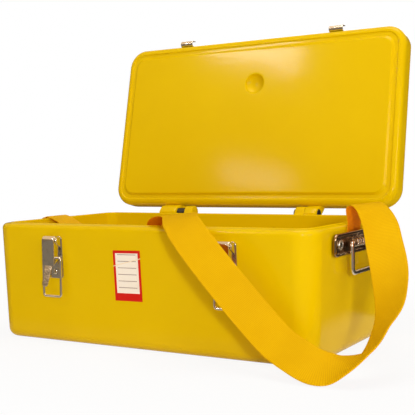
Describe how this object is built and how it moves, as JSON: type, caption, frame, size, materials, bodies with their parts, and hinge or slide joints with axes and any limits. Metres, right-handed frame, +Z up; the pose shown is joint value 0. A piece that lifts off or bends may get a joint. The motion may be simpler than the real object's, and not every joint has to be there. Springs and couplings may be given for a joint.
{
  "type": "tool box",
  "caption": "Moulded tool box with a hinged hollow lid, wire toggle latches, sprung end handles and a loose webbing carrying strap.",
  "frame": {"origin": "middle of the tub's flat base, on the floor", "axes": "+X along the box to its right end, +Y to the hinge side, +Z up"},
  "size_m": [0.7131, 0.5169, 0.5257],
  "materials": {
    "yellow_plastic": "smooth moulded surface with a soft gloss",
    "bright_steel": "bright plated steel",
    "black_nylon": "dull black",
    "webbing": "woven webbing with fine cross ribs"
  },
  "bodies": {
    "tub": {"box_body": "yellow_plastic", "hinge_pin_left": "black_nylon", "hinge_pin_right": "black_nylon", "latch_base_left": "bright_steel", "latch_base_right": "bright_steel", "latch_rivet_left_upper": "bright_steel", "latch_rivet_left_lower": "bright_steel", "latch_rivet_right_upper": "bright_steel", "latch_rivet_right_lower": "bright_steel", "latch_pin_left": "bright_steel", "latch_pin_right": "bright_steel", "handle_plate_left": "bright_steel", "handle_plate_right": "bright_steel", "handle_screw_left_front": "bright_steel", "handle_screw_left_rear": "bright_steel", "handle_screw_right_front": "bright_steel", "handle_screw_right_rear": "bright_steel", "handle_spring_left": "bright_steel", "handle_spring_right": "bright_steel", "strap_left": "webbing", "strap_across": "webbing", "strap_front": "webbing", "strap_right": "webbing"},
    "lid_leaf": {"lid": "yellow_plastic", "lid_hook_left": "bright_steel", "lid_hook_right": "bright_steel", "hook_rivet_left_inner": "bright_steel", "hook_rivet_left_outer": "bright_steel", "hook_rivet_right_inner": "bright_steel", "hook_rivet_right_outer": "bright_steel"},
    "lever_left": {"latch_lever_left": "bright_steel"},
    "lever_right": {"latch_lever_right": "bright_steel"},
    "wire_left": {"latch_bail_left": "bright_steel"},
    "wire_right": {"latch_bail_right": "bright_steel"},
    "handle_left": {"handle_bail_left": "bright_steel"},
    "handle_right": {"handle_bail_right": "bright_steel"}
  },
  "joints": [
    {"name": "lid_hinge", "type": "hinge", "parent": "tub", "child": "lid_leaf", "pos_m": [0, 0.1735, 0.191], "axis": [-1, 0, 0], "range_deg": [-102.4, 0], "deforming": ["strap_across"]},
    {"name": "lever_left_turn", "type": "hinge", "parent": "tub", "child": "lever_left", "pos_m": [-0.158, -0.1685, 0.166], "axis": [-1, 0, 0], "range_deg": [0, 125]},
    {"name": "lever_right_turn", "type": "hinge", "parent": "tub", "child": "lever_right", "pos_m": [0.158, -0.1685, 0.166], "axis": [-1, 0, 0], "range_deg": [0, 125], "deforming": ["strap_front"]},
    {"name": "wire_left_swing", "type": "hinge", "parent": "lever_left", "child": "wire_left", "pos_m": [-0.158, -0.166, 0.138], "axis": [1, 0, 0], "range_deg": [-180, 6]},
    {"name": "wire_right_swing", "type": "hinge", "parent": "lever_right", "child": "wire_right", "pos_m": [0.158, -0.166, 0.138], "axis": [1, 0, 0], "range_deg": [-180, 6], "deforming": ["strap_front"]},
    {"name": "handle_left_swing", "type": "hinge", "parent": "tub", "child": "handle_left", "pos_m": [-0.30062, 0, 0.1635], "axis": [0, 1, 0], "range_deg": [0, 90], "stiffness_Nm_per_rad": 0.12},
    {"name": "handle_right_swing", "type": "hinge", "parent": "tub", "child": "handle_right", "pos_m": [0.30062, 0, 0.1635], "axis": [0, -1, 0], "range_deg": [0, 90], "stiffness_Nm_per_rad": 0.12, "deforming": ["strap_right"]}
  ]
}
